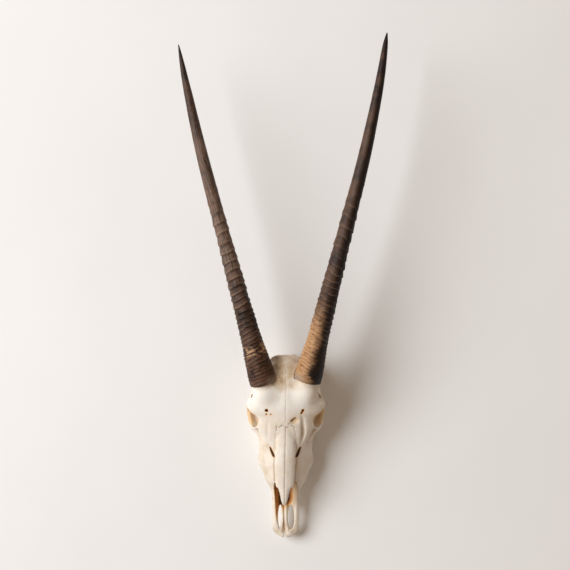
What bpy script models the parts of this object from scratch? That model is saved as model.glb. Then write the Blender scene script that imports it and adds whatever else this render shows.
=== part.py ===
"""A gemsbok's skull with its pair of horns, lying on its cheek teeth.

The skull is one grown bone. Lofts along the head's length make the braincase,
the forehead, the face and the nose roof, and tubes make the arches, bars and
processes; they are joined, remeshed and cut. A bony core stands out behind each
eye, and a horn sheath slips over it. Twelve upper cheek teeth sit in sockets.

Frame: +Z is the top of the head, +Y runs from the nose to the horn tips and +X
is the animal's left. The worn chewing faces of the teeth lie at z = 0.
Lengths below are in millimetres; MM turns them into Blender's metres.
"""

import bmesh
import bpy
import numpy as np

MM = 0.001
MIDLINE_X = 5.0  # the head's plane of symmetry; the horns are not quite equal
GAP = 0.4  # clearance between pieces that touch on the real skull
SEAT_GAP = 1.2  # side clearance of a horn sheath's foot in its seat
CORE_GAP = 0.6  # clearance between a horn's core and the sheath over it
VOXEL = 3.0
SKULL_SHARE = 0.068  # share of the remeshed skull's triangles that is kept
SECTION_SIDES = 20
LOFT_SECTIONS, PASSAGE_SECTIONS = 20, 8
BAR_SIDES = 12
BAR_RINGS = 3  # rings of a bar for each point of its table
BALL_SIDES, BALL_ROWS = 16, 10
SHARP_ANGLE = 0.7  # radians; edges sharper than this are shaded flat
CURVE_STEPS = 40  # fine steps of a smooth curve between two of its points
LEAN = (0.02, 0.03, 0.0)  # tilts a bar a little, so that none stands quite upright

# Braincase and skull base: y, half width, bottom, top, height of widest point.
BRAINCASE = [
    (-130, 23, 62, 97, 80),
    (-133, 34, 52, 105, 78),
    (-141, 42, 42, 112, 74),
    (-160, 47, 36, 122, 72),
    (-185, 46, 38, 129, 75),
    (-210, 39, 42, 131, 80),
    (-235, 29, 45, 126, 84),
    (-262, 22, 45, 113, 80),
]
# Frontal bones, from between the horns to the root of the nose.
FOREHEAD = [
    (-156, 38, 100, 120, 108),
    (-176, 54, 98, 133, 111),
    (-190, 66, 97, 141, 112),
    (-206, 69, 95, 141, 109),
    (-222, 75, 90, 134, 102),
    (-236, 79, 87, 129, 99),
    (-248, 74, 85, 124, 97),
    (-258, 66, 83, 121, 95),
    (-280, 60, 78, 112, 88),
    (-304, 46, 73, 102, 84),
]
# Upper jaw bones: wide over the cheek teeth, then narrowing to a low trough.
FACE = [
    (-258, 46, 36, 104, 68),
    (-275, 56, 25, 108, 60),
    (-292, 59, 22, 105, 52),
    (-330, 56, 20, 97, 43),
    (-354, 56.5, 20, 90, 41),
    (-364, 55.5, 20, 87, 41),
    (-376, 49, 20, 82, 41),
    (-392, 44, 20, 75, 41),
    (-408, 35, 22, 61, 42),
    (-424, 29, 22, 52, 40),
    (-444, 27, 22, 46, 36),
]
# Nasal bones, a long pointed roof over the nose passage.
NASALS = [
    (-270, 14, 100, 116, 106),
    (-300, 18, 94, 110, 101),
    (-336, 22, 86, 101, 92),
    (-376, 21, 77, 89, 82),
    (-404, 18, 70, 80, 74),
    (-412, 14, 67, 77, 71),
    (-444, 3, 59, 66, 62),
]
ROUND, ROOFED, BOXY = 2.0, 1.55, 3.0  # powers of the superellipse sections

# Tubes of one side: distance out from the midline, y, z, radius.
CHEEK_ARCH = [
    (50, -306, 58, 10),
    (63, -286, 63, 9),
    (72, -264, 66, 7.5),
    (74, -243, 69, 7),
    (72, -223, 69, 7),
    (66, -200, 64, 6.5),
    (58, -180, 60, 7),
    (42, -164, 60, 10),
]
BAR_BEHIND_EYE = [(70, -226, 108, 7), (74.5, -230, 92, 6), (73, -232, 70, 7)]
OUTER_NOSE_BAR = [
    (26, -424, 38, 8),
    (24, -448, 33, 6.5),
    (22.5, -478, 28, 6.2),
    (20.5, -504, 26, 7.8),
    (15, -516, 25, 8.5),
]
INNER_NOSE_BAR = [(4, -430, 27, 6), (4, -470, 25, 4.5), (9, -512, 25, 6)]
JUGULAR_PROCESS = [(36, -146, 54, 10), (36, -149, 28, 7.5), (34, -150, -3, 6.5)]
TOOTH_RIDGE = [(34, -392, 30, 12), (37, -340, 29, 14), (41, -276, 30, 13)]
WING_UNDER_PALATE = [(17, -272, 38, 6), (15, -248, 34, 4.5), (14, -224, 44, 5)]

# Balls: centre as distance out from the midline, y and z, then the radii.
CONDYLE = ((15, -144, 46), (12, 13, 15))
EAR_CAPSULE = ((27, -176, 38), (11, 15, 14))
ORBIT = ((72, -259, 90), (36, 24, 23))
ORBIT_FLOOR = ((60, -266, 58), (19, 27, 9))
FORAMEN_MAGNUM = ((0, -134, 64), (12.5, 34, 11.5))
PALATE_VAULT = ((0, -350, 14), (24, 110, 17))
REAR_NOSTRILS = ((0, -242, 44), (9, 34, 11))
NOSE_PASSAGE = [
    (-462, 17, 30, 62, 46),
    (-440, 20, 32, 64, 46),
    (-410, 22, 34, 70, 48),
    (-380, 19, 36, 74, 52),
    (-345, 13, 42, 78, 58),
]

# Horn axes: x, y, z of the hand-chosen points that a smooth curve follows.
LEFT_AXIS = [
    (49.5, -182.5, 122),
    (86, -34, 153),
    (122.7, 112, 171),
    (162.5, 268, 177),
    (193.2, 414, 173),
    (210, 523.5, 166),
]
RIGHT_AXIS = [
    (-40, -187, 122),
    (-80.5, -37, 153),
    (-120, 112, 171),
    (-162, 271, 177),
    (-194, 412, 173),
    (-211.4, 500, 168),
]
HORN_STATIONS = 50
HORN_SIDES = 12
# Share of the horn's length from its base, and the sheath's radius there.
HORN_RADII = [
    (0.0, 28.0),
    (0.03, 27.8),
    (0.06, 26.4),
    (0.08, 24.8),
    (0.11, 22.6),
    (0.15, 20.8),
    (0.25, 18.4),
    (0.35, 16.8),
    (0.45, 14.9),
    (0.6, 13.0),
    (0.72, 11.5),
    (0.82, 9.6),
    (0.9, 7.4),
    (0.96, 4.8),
    (1.0, 0.8),
]
RING_RELIEF = 0.7
RINGED_SHARE = 0.52  # the tip half is smooth
CORE_LENGTH = 84.0
CORE_RADII = [(0.0, 22.0), (0.35, 17.5), (0.8, 13.5), (1.0, 8.0)]
CORE_ROOT = 22.0  # how far the core reaches back into the skull
CORE_ROOT_TAPER = 3.0
CORE_STATIONS = 9
SEAT_STATIONS = (0, 3, 6, 9)  # stations of the horn that its seat in the skull follows
SEAT_SIDES = 24

# Cheek teeth, front to back: name, length along the row, width across it.
TEETH = [
    ("premolar_2", 10.0, 10.0),
    ("premolar_3", 13.0, 13.0),
    ("premolar_4", 13.0, 15.5),
    ("molar_1", 17.0, 18.5),
    ("molar_2", 21.0, 20.0),
    ("molar_3", 22.0, 18.5),
]
ROW_FRONT_Y = -384.0
ROW_FRONT_X, ROW_REAR_X = 34.0, 41.0
TOOTH_TOP = 34.0
TOOTH_LEVELS = [(0.0, 0.94), (2.0, 1.0), (18.0, 0.97), (TOOTH_TOP, 0.86)]  # z, scale
TOOTH_SIDES = 10
SOCKET_MOUTH = -20.0  # a socket is open from below the worn faces
GROUND = ((-300, -600, -60), (300, 0, 0))

LEFT, RIGHT = 1, -1
# Rounded hollows: name, shape and sides; one on the midline is cut once.
HOLLOWS = [
    ("orbits", ORBIT, (LEFT, RIGHT)),
    ("foramen_magnum", FORAMEN_MAGNUM, (RIGHT,)),
    ("palate_vault", PALATE_VAULT, (RIGHT,)),
    ("rear_nostrils", REAR_NOSTRILS, (RIGHT,)),
]


def even_rows(stations, count):
    """Rows evenly spaced along a table's first column, read off straight lines."""
    table = np.array(stations, float)
    order = np.argsort(table[:, 0])
    table = table[order]
    first = np.linspace(table[0, 0], table[-1, 0], count)
    others = [np.interp(first, table[:, 0], table[:, i]) for i in range(1, table.shape[1])]
    return np.column_stack([first] + others)


def smooth_curve(points, count):
    """Catmull-Rom curve through the points, evenly spaced along its length."""
    knots = np.array(points, float)
    ends = np.vstack([2 * knots[0] - knots[1], knots, 2 * knots[-1] - knots[-2]])
    t = np.linspace(0, 1, CURVE_STEPS, endpoint=False)[:, None]
    pieces = []
    for a, b, c, d in zip(ends[:-3], ends[1:-2], ends[2:-1], ends[3:]):
        pieces.append(
            b + 0.5 * t * (c - a)
            + t * t * (a - 2.5 * b + 2 * c - 0.5 * d)
            + t ** 3 * (1.5 * b - 1.5 * c + 0.5 * (d - a))
        )
    path = np.vstack(pieces + [knots[-1:]])
    run = np.append(0, np.cumsum(np.linalg.norm(np.diff(path, axis=0), axis=1)))
    at = np.linspace(0, run[-1], count)
    even = np.column_stack([np.interp(at, run, path[:, i]) for i in range(path.shape[1])])
    return even, run[-1]


def new_object(name, mesh, collection):
    item = bpy.data.objects.new(name, mesh)
    collection.objects.link(item)
    return item


def mesh_from(name, bm):
    bmesh.ops.recalc_face_normals(bm, faces=bm.faces)
    mesh = bpy.data.meshes.new(name)
    bm.to_mesh(mesh)
    bm.free()
    return mesh


def add_rings(bm, rings):
    """Joins rings of equal point count into a closed skin with capped ends."""
    loops = [[bm.verts.new(point * MM) for point in ring] for ring in rings]
    count = len(loops[0])
    for one, two in zip(loops, loops[1:]):
        for i in range(count):
            j = (i + 1) % count
            bm.faces.new((one[i], one[j], two[j], two[i]))
    bm.faces.new(loops[0])
    bm.faces.new(loops[-1][::-1])


def loft(bm, stations, top_power, low_power, count):
    """A loft along y between superellipse sections, centred on the midline."""
    turn = np.linspace(0, 2 * np.pi, SECTION_SIDES, endpoint=False)
    cosine, sine = np.cos(turn), np.sin(turn)
    power = np.where(sine >= 0, top_power, low_power)
    across = np.sign(cosine) * np.abs(cosine) ** (2 / power)
    up = np.sign(sine) * np.abs(sine) ** (2 / power)
    rings = []
    for y, half, bottom, top, widest in even_rows(stations, count):
        height = np.where(up >= 0, top - widest, widest - bottom)
        x = MIDLINE_X + half * across
        z = widest + height * up
        rings.append(np.column_stack([x, np.full_like(x, y), z]))
    add_rings(bm, rings)


def tube_rings(path, radii, sides):
    """Rings square to a path; a ring's first point lies on its upper side."""
    along = np.gradient(path, axis=0)
    along /= np.linalg.norm(along, axis=1)[:, None]
    side = np.cross(along, (0.0, 0.0, 1.0))
    side /= np.linalg.norm(side, axis=1)[:, None]
    upper = np.cross(side, along)
    turn = np.linspace(0, 2 * np.pi, sides, endpoint=False)[None, :, None]
    spoke = np.cos(turn) * upper[:, None] + np.sin(turn) * side[:, None]
    return path[:, None] + np.asarray(radii)[:, None, None] * spoke


def side_tube(bm, points, side):
    """A bony bar of one side of the head: a tube whose radius changes."""
    table, _ = smooth_curve(points, BAR_RINGS * len(points))
    path = table[:, :3] * (side, 1, 1) + (MIDLINE_X, 0, 0)
    add_rings(bm, tube_rings(path + LEAN, table[:, 3], BAR_SIDES))


def ball(bm, shape, side):
    """An ellipsoid on one side of the head."""
    (x, y, z), radii = shape
    made = bmesh.ops.create_uvsphere(bm, u_segments=BALL_SIDES, v_segments=BALL_ROWS, radius=1.0)
    bmesh.ops.scale(bm, vec=np.array(radii) * MM, verts=made["verts"])
    place = np.array((MIDLINE_X + side * x, y, z)) * MM
    bmesh.ops.translate(bm, vec=place, verts=made["verts"])


def block(bm, low, high):
    made = bmesh.ops.create_cube(bm, size=1.0)
    low, high = np.array(low, float), np.array(high, float)
    bmesh.ops.scale(bm, vec=(high - low) * MM, verts=made["verts"])
    bmesh.ops.translate(bm, vec=(high + low) / 2 * MM, verts=made["verts"])


def horn_path(axis):
    return smooth_curve(axis, HORN_STATIONS)


def horn_radii(share):
    table = np.array(HORN_RADII)
    return np.interp(share, table[:, 0], table[:, 1])


def horn_rings(axis):
    """The sheath's rings: every other station stands proud in the ringed part."""
    path, _ = horn_path(axis)
    share = np.linspace(0, 1, HORN_STATIONS)
    ridge = np.where(np.arange(HORN_STATIONS) % 2 == 0, RING_RELIEF, -RING_RELIEF)
    radii = horn_radii(share) + ridge * (share < RINGED_SHARE) * (share > 0)
    return tube_rings(path, radii, HORN_SIDES)


def core_rings(axis, extra, taper):
    """The bony core, or with extra the hollow that it fills; its root may taper."""
    path, length = horn_path(axis)
    share = np.linspace(0, (CORE_LENGTH + extra) / length, CORE_STATIONS)
    steps = np.linspace(0, 1, HORN_STATIONS)
    table = np.array(CORE_RADII)
    along_core = np.linspace(0, 1, CORE_STATIONS)
    radii = np.interp(along_core, table[:, 0], table[:, 1]) + extra
    points = np.column_stack([np.interp(share, steps, path[:, i]) for i in range(3)])
    forward = (points[1] - points[0]) / np.linalg.norm(points[1] - points[0])
    points = np.vstack([points[0] - forward * CORE_ROOT, points])
    radii = np.append(radii[0] - taper, radii)
    return tube_rings(points, radii, HORN_SIDES)


def seat_rings(axis):
    """What the skull leaves free for a sheath: its outline with clearance."""
    path, _ = horn_path(axis)
    forward = (path[1] - path[0]) / np.linalg.norm(path[1] - path[0])
    points = path[list(SEAT_STATIONS)]
    points[0] -= forward * GAP
    share = np.array(SEAT_STATIONS) / (HORN_STATIONS - 1)
    return tube_rings(points, horn_radii(share) + RING_RELIEF + SEAT_GAP, SEAT_SIDES)


def tooth_rings(x, y, length, width, grow):
    """A tall tooth: a rounded box, a little wider at its worn face.

    With grow it is the tooth's socket: larger all round and open below.
    """
    turn = np.linspace(0, 2 * np.pi, TOOTH_SIDES, endpoint=False)
    across = np.sign(np.cos(turn)) * np.abs(np.cos(turn)) ** (2 / BOXY)
    along = np.sign(np.sin(turn)) * np.abs(np.sin(turn)) ** (2 / BOXY)
    levels = TOOTH_LEVELS
    if grow:
        levels = [(SOCKET_MOUTH, TOOTH_LEVELS[0][1])] + TOOTH_LEVELS[1:-1]
        levels = levels + [(TOOTH_TOP + grow, TOOTH_LEVELS[-1][1])]
    rings = []
    for z, scale in levels:
        half_x = width / 2 * scale + grow
        half_y = length / 2 * scale + grow
        x_points, y_points = x + half_x * across, y + half_y * along
        rings.append(np.column_stack([x_points, y_points, np.full(TOOTH_SIDES, z)]))
    return rings


def tooth_places():
    """Name, centre and size of the six teeth of one row, front to back."""
    total = sum(length for _, length, _ in TEETH)
    front = ROW_FRONT_Y
    for name, length, width in TEETH:
        y = front + length / 2
        share = (y - ROW_FRONT_Y) / total
        x = ROW_FRONT_X + share * (ROW_REAR_X - ROW_FRONT_X)
        yield name, x, y, length - 2 * GAP, width
        front += length


def material(name, colour, roughness):
    made = bpy.data.materials.new(name)
    made.use_nodes = True
    shader = made.node_tree.nodes["Principled BSDF"]
    shader.inputs["Base Color"].default_value = (*colour, 1.0)
    shader.inputs["Roughness"].default_value = roughness
    shader.inputs["Metallic"].default_value = 0.0
    return made


def finish_part(item, surface):
    item.data.materials.append(surface)
    item.data.shade_smooth()
    item.data.set_sharp_from_angle(angle=SHARP_ANGLE)


def cutter(name, bm, collection):
    item = new_object(name, mesh_from(name, bm), collection)
    item.hide_render = True
    item.display_type = "WIRE"
    return item


def boolean(item, other, operation):
    change = item.modifiers.new(f"{operation.lower()} {other.name}", "BOOLEAN")
    change.operation = operation
    change.solver = "EXACT"
    change.object = other


def build_skull(parts, cutters, surface):
    bm = bmesh.new()
    for stations, top_power in (
        (BRAINCASE, ROUND), (FOREHEAD, ROUND), (FACE, ROOFED), (NASALS, ROUND)
    ):
        loft(bm, stations, top_power, ROUND, LOFT_SECTIONS)
    for side in (LEFT, RIGHT):
        for bar in (CHEEK_ARCH, BAR_BEHIND_EYE, OUTER_NOSE_BAR, INNER_NOSE_BAR):
            side_tube(bm, bar, side)
        for bar in (JUGULAR_PROCESS, TOOTH_RIDGE, WING_UNDER_PALATE):
            side_tube(bm, bar, side)
        for shape in (CONDYLE, EAR_CAPSULE, ORBIT_FLOOR):
            ball(bm, shape, side)
    skull = new_object("skull", mesh_from("skull", bm), parts)

    remesh = skull.modifiers.new("one skin", "REMESH")
    remesh.mode = "VOXEL"
    remesh.voxel_size = VOXEL * MM
    passage = bmesh.new()
    loft(passage, NOSE_PASSAGE, ROUND, ROUND, PASSAGE_SECTIONS)
    boolean(skull, cutter("nose_passage", passage, cutters), "DIFFERENCE")
    thin = skull.modifiers.new("fewer faces", "DECIMATE")
    thin.ratio = SKULL_SHARE

    seats = bmesh.new()
    cores = bmesh.new()
    for axis in (LEFT_AXIS, RIGHT_AXIS):
        add_rings(seats, seat_rings(axis))
        add_rings(cores, core_rings(axis, 0.0, CORE_ROOT_TAPER))
    boolean(skull, cutter("horn_seats", seats, cutters), "DIFFERENCE")
    boolean(skull, cutter("horn_cores", cores, cutters), "UNION")

    for name, shape, sides in HOLLOWS:
        bm = bmesh.new()
        for side in sides:
            ball(bm, shape, side)
        boolean(skull, cutter(name, bm, cutters), "DIFFERENCE")

    sockets = bmesh.new()
    for side in (LEFT, RIGHT):
        for _, x, y, length, width in tooth_places():
            place = MIDLINE_X + side * x
            add_rings(sockets, tooth_rings(place, y, length, width, GAP))
    boolean(skull, cutter("tooth_sockets", sockets, cutters), "DIFFERENCE")
    ground = bmesh.new()
    block(ground, *GROUND)
    boolean(skull, cutter("ground", ground, cutters), "DIFFERENCE")
    finish_part(skull, surface)


def build_horn(name, axis, parts, cutters, surface):
    bm = bmesh.new()
    add_rings(bm, horn_rings(axis))
    horn = new_object(name, mesh_from(name, bm), parts)
    hollow = bmesh.new()
    add_rings(hollow, core_rings(axis, CORE_GAP, 0.0))
    boolean(horn, cutter(f"{name}_hollow", hollow, cutters), "DIFFERENCE")
    finish_part(horn, surface)


def build_teeth(parts, surface):
    for word, side in (("left", LEFT), ("right", RIGHT)):
        for name, x, y, length, width in tooth_places():
            bm = bmesh.new()
            add_rings(bm, tooth_rings(MIDLINE_X + side * x, y, length, width, 0.0))
            full_name = f"{name}_{word}"
            finish_part(new_object(full_name, mesh_from(full_name, bm), parts), surface)


def main():
    for item in list(bpy.data.objects):
        bpy.data.objects.remove(item, do_unlink=True)
    parts = bpy.data.collections.new("gemsbok skull with horns")
    cutters = bpy.data.collections.new("cutters")
    for collection in (parts, cutters):
        bpy.context.scene.collection.children.link(collection)
    bone = material("bone", (0.78, 0.70, 0.58), 0.6)
    horn = material("horn", (0.07, 0.045, 0.033), 0.55)
    enamel = material("tooth enamel", (0.62, 0.52, 0.38), 0.35)
    build_skull(parts, cutters, bone)
    build_horn("left_horn_sheath", LEFT_AXIS, parts, cutters, horn)
    build_horn("right_horn_sheath", RIGHT_AXIS, parts, cutters, horn)
    build_teeth(parts, enamel)


main()
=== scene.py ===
"""A gemsbok's skull with its pair of ringed horns: bone, horn and teeth, finished for rendering."""

# %% [markdown]
# # A gemsbok skull with its horns
# The object is the cleaned skull of a desert antelope without its lower jaw. It lies on its
# cheek teeth, and two long horns run back from behind the eyes, low over the surface.
# The imported frame gives every place and size. First the script loads it and keeps the box that
# the whole object fills, which later centres the camera.

# %% Load the frame
import itertools
import math

import bpy
import numpy as np
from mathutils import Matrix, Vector


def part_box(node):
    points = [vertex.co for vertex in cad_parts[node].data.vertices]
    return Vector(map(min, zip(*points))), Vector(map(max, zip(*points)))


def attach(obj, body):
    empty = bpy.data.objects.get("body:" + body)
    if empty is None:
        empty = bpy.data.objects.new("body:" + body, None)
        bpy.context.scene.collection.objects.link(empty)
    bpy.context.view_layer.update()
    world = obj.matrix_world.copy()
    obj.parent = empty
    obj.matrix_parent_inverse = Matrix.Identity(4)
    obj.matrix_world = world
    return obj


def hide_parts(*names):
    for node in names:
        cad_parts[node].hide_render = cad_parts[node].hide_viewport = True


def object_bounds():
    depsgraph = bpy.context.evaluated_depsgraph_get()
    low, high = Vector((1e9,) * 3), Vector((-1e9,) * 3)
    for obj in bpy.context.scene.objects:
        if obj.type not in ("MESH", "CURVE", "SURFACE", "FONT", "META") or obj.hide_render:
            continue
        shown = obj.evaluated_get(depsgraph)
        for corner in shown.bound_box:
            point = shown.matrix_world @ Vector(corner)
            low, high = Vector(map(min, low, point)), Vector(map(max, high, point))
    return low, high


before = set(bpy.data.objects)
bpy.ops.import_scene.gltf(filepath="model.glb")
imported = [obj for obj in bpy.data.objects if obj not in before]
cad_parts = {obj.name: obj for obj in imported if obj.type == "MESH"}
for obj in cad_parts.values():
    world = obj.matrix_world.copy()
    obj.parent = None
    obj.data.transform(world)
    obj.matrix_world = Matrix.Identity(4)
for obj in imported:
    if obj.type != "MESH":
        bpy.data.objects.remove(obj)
cad_low, cad_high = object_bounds()
MM = 0.001
skull_low, skull_high = (np.array(corner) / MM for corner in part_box("skull"))
MIDLINE = (skull_low[0] + skull_high[0]) / 2
print("object box in mm:", np.round((np.array(cad_high) - np.array(cad_low)) / MM, 1))
print("the head's plane of symmetry is at x =", round(MIDLINE, 2), "mm")

# %% [markdown]
# ## Shared tools
# Natural surfaces are never even. `cloud` is the noise that all pieces share: random numbers
# sit on a lattice and are eased between, so that it is smooth at any scale and the same each run.
# `eased` reads a table of stations as a smooth line, and `smooth_curve` runs a curve through a
# few points. All work is on whole arrays, in millimetres.

# %% Noise, smooth tables and curves
LATTICE = 32


def cloud(points, size, seed):
    """Smooth noise from -1 to 1: lattice values `size` apart, blended by each point's place."""
    table = np.random.default_rng(seed).uniform(-1, 1, (LATTICE,) * 3).astype(np.float32)
    place = np.asarray(points, np.float32) / np.asarray(size, np.float32)
    corner = np.floor(place).astype(np.int64)
    part = place - corner
    part = part * part * (3 - 2 * part)
    total = np.zeros(part.shape[:-1], np.float32)
    for step in itertools.product((0, 1), repeat=3):
        weight = np.where(np.array(step) == 1, part, 1 - part).prod(axis=-1)
        index = (corner + step) % LATTICE
        total += weight * table[index[..., 0], index[..., 1], index[..., 2]]
    return total


def smooth_step(value, start, end):
    """0 before start, 1 after end, and an S-curve between."""
    share = np.clip((value - start) / (end - start), 0, 1)
    return share * share * (3 - 2 * share)


def eased(table, column, at, soften=6):
    """A table's column as a line over its first column, averaged over `soften` mm each way."""
    fine = np.arange(table[0, 0] - 30, table[-1, 0] + 30, 1.0)
    line = np.interp(fine, table[:, 0], table[:, column])
    window = np.hanning(2 * soften + 3)[1:-1]
    line = np.convolve(np.pad(line, soften, mode="edge"), window / window.sum(), "valid")
    return np.interp(at, fine, line)


def smooth_curve(points, count):
    """A Catmull-Rom curve through the points, evenly spaced along its length."""
    knots = np.array(points, float)
    ends = np.vstack([2 * knots[0] - knots[1], knots, 2 * knots[-1] - knots[-2]])
    t = np.linspace(0, 1, 40, endpoint=False)[:, None]
    pieces = []
    for a, b, c, d in zip(ends[:-3], ends[1:-2], ends[2:-1], ends[3:]):
        bend = a - 2.5 * b + 2 * c - 0.5 * d
        pieces.append(b + 0.5 * t * (c - a) + t**2 * bend + t**3 * (1.5 * (b - c) + 0.5 * (d - a)))
    path = np.vstack(pieces + [knots[-1:]])
    run = np.append(0, np.cumsum(np.linalg.norm(np.diff(path[:, :3], axis=0), axis=1)))
    at = np.linspace(0, run[-1], count)
    even = np.column_stack([np.interp(at, run, column) for column in path.T])
    return even, run[-1]


def add_mesh(name, points_mm, faces):
    """Makes an object from points in mm and faces of three or four corners each."""
    loops = np.concatenate([np.asarray(face).reshape(-1) for face in faces])
    sizes = np.concatenate([np.full(len(face), np.asarray(face).shape[1]) for face in faces])
    mesh = bpy.data.meshes.new(name)
    mesh.vertices.add(len(points_mm))
    mesh.vertices.foreach_set("co", (np.asarray(points_mm) * MM).astype(np.float32).ravel())
    mesh.loops.add(len(loops))
    mesh.loops.foreach_set("vertex_index", loops.astype(np.int32))
    mesh.polygons.add(len(sizes))
    mesh.polygons.foreach_set("loop_start", (np.cumsum(sizes) - sizes).astype(np.int32))
    mesh.update(calc_edges=True)
    mesh.validate()
    mesh.shade_smooth()
    piece = bpy.data.objects.new(name, mesh)
    bpy.context.collection.objects.link(piece)
    return piece


def set_mask(piece, name, values):
    """Stores one number for each vertex, for the piece's material to read."""
    layer = piece.data.attributes.new(name, "FLOAT", "POINT")
    layer.data.foreach_set("value", np.asarray(values, np.float32).ravel())


# %% [markdown]
# ## Clay for the skull
# A horn or a tooth is a surface of two parameters, but a skull is not: it has eye sockets,
# arches with daylight behind them and a hollow nose. So it is modelled the way a sculptor
# would, by adding and cutting clay. `Clay` is a block of space whose grid points hold their
# distance from the bone's skin, negative inside. Each shape is a formula on whole arrays.
# Adding keeps the lesser distance, cutting keeps the greater, and both are rounded where the
# two surfaces meet, as bone is.

# %% Shapes as distance formulas
FAR = 60.0


def smooth_least(a, b, blend):
    """The lesser of two distances, rounded where they differ by less than `blend`."""
    share = np.clip(0.5 + 0.5 * (b - a) / blend, 0, 1)
    return b * (1 - share) + a * share - blend * share * (1 - share)


def ball(x, y, z, wide, long, tall):
    """An ellipsoid: scaled radius times (scaled radius less one), over the scaled slope."""
    def distance(px, py, pz):
        ux, uy, uz = (px - x) / wide, (py - y) / long, (pz - z) / tall
        near = np.sqrt(ux * ux + uy * uy + uz * uz)
        slope = np.sqrt((ux / wide) ** 2 + (uy / long) ** 2 + (uz / tall) ** 2)
        return near * (near - 1) / np.maximum(slope, 1e-5)

    reach = np.array((wide, long, tall))
    return distance, np.array((x, y, z)) - reach, np.array((x, y, z)) + reach


def bar(points, tall=1.0, wide=1.0):
    """A bony bar: the distance to a curve less the radius there (x, y, z, radius points)."""
    path, _ = smooth_curve(points, 4 * len(points))
    path = path.astype(np.float32)
    scale = np.array((wide, 1.0, tall), np.float32)

    def distance(px, py, pz):
        px, pz = px / wide, pz / tall
        nearest = None
        for a, b in zip(path[:-1], path[1:]):
            start, along = a[:3] / scale, (b[:3] - a[:3]) / scale
            dx, dy, dz = px - start[0], py - start[1], pz - start[2]
            share = (dx * along[0] + dy * along[1] + dz * along[2]) / (along @ along)
            share = np.clip(share, 0, 1)
            dx, dy, dz = dx - share * along[0], dy - share * along[1], dz - share * along[2]
            here = np.sqrt(dx * dx + dy * dy + dz * dz) - (a[3] + share * (b[3] - a[3]))
            nearest = here if nearest is None else np.minimum(nearest, here)
        return nearest * min(tall, wide, 1.0)

    reach = path[:, 3:] * scale
    return distance, (path[:, :3] - reach).min(axis=0), (path[:, :3] + reach).max(axis=0)


def stack(stations, top_power=2.0, low_power=2.0, soften=6, shift=0.0, shift_from=0.0):
    """Sections stacked along y: y, half width, bottom, top and height of the widest point.

    A section is |x / half|^p + |z / rise|^p = 1, and the distance is measured along the ray
    from the section's centre. The centre drifts sideways by `shift` from `shift_from` on.
    """
    table = np.array(stations, float)
    table = table[np.argsort(table[:, 0])]
    span = shift_from - table[0, 0]

    def distance(px, py, pz):
        y = py.ravel()
        half, bottom, top, widest = (
            eased(table, i, y, soften).astype(np.float32)[None, :, None] for i in range(1, 5)
        )
        if shift:
            px = px - (shift * np.clip((shift_from - y) / span, 0, 1))[None, :, None]
        dz = pz - widest
        rise = np.where(dz > 0, top - widest, widest - bottom)
        power = np.where(dz > 0, top_power, low_power)
        across = np.maximum(np.abs(px) / half, 1e-4)
        up = np.maximum(np.abs(dz) / rise, 1e-4)
        scaled = (across**power + up**power) ** (1 / power)
        reach = np.sqrt(px * px + dz * dz)
        ends = np.maximum(table[0, 0] - py, py - table[-1, 0])
        return np.maximum(reach * (1 - 1 / scaled), ends)

    most = table[:, 1].max() + abs(shift)
    low = np.array((-most, table[0, 0], table[:, 2].min()))
    return distance, low, np.array((most, table[-1, 0], table[:, 3].max()))


# %% The block of clay
SPARE = 4.0
TINT = 0.9
TINT_FADE = (-2.3, -0.6)


class Clay:
    """Grid points in space: each holds its distance in mm from the bone's skin, and how
    deeply coloured a cavity there is, from 0 for open bone to 1 for the darkest hole.
    That colour is partly the bone's own yellowing and partly painted shade."""

    def __init__(self, axes):
        self.axes = [axis.astype(np.float32) for axis in axes]
        self.value = np.full([len(axis) for axis in self.axes], FAR, np.float32)
        self.cavity = np.zeros_like(self.value)

    def window(self, low, high, margin):
        """The slices of the block round a box, and the places there as open arrays."""
        cut = [
            slice(np.searchsorted(axis, a - margin), np.searchsorted(axis, b + margin))
            for axis, a, b in zip(self.axes, low, high)
        ]
        x, y, z = (axis[part] for axis, part in zip(self.axes, cut))
        return tuple(cut), (x[:, None, None], y[None, :, None], z[None, None, :])

    def add(self, shape, blend=4.0):
        """Adds bone, rounded over `blend` mm where it meets what is there."""
        distance, low, high = shape
        cut, place = self.window(low, high, blend + SPARE)
        self.value[cut] = smooth_least(self.value[cut], distance(*place), blend)

    def cut(self, shape, blend=2.0, cavity=0.0):
        """Cuts a shape out. Its space is tinted, and the tint fades just beyond its edge."""
        distance, low, high = shape
        cut, place = self.window(low, high, blend + SPARE)
        depth = distance(*place)
        self.value[cut] = -smooth_least(-self.value[cut], depth, blend)
        tint = TINT * cavity * smooth_step(-depth, *TINT_FADE)
        self.cavity[cut] = np.maximum(self.cavity[cut], tint)


STEP = 1.62
HALF_WIDTH, REAR, NOSE, CROWN, UNDER = 94.0, -100.0, -526.0, 156.0, -4.0
half_x = np.arange(STEP / 2, HALF_WIDTH, STEP)
length_y = np.arange(NOSE, REAR, STEP)
height_z = np.arange(UNDER, CROWN, STEP)
half = Clay([half_x, length_y, height_z])
print("clay grid of one half:", half.value.shape)

# %% [markdown]
# ## Braincase, forehead and face
# One half of the skull is modelled and mirrored, because almost everything has a twin. Three
# stacks of sections give the mass: the egg of the braincase, the broad frontal bones that roof
# the eyes, and the long upper jaw. A boss swells under each horn, so a shallow valley is left
# between the horns.

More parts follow.
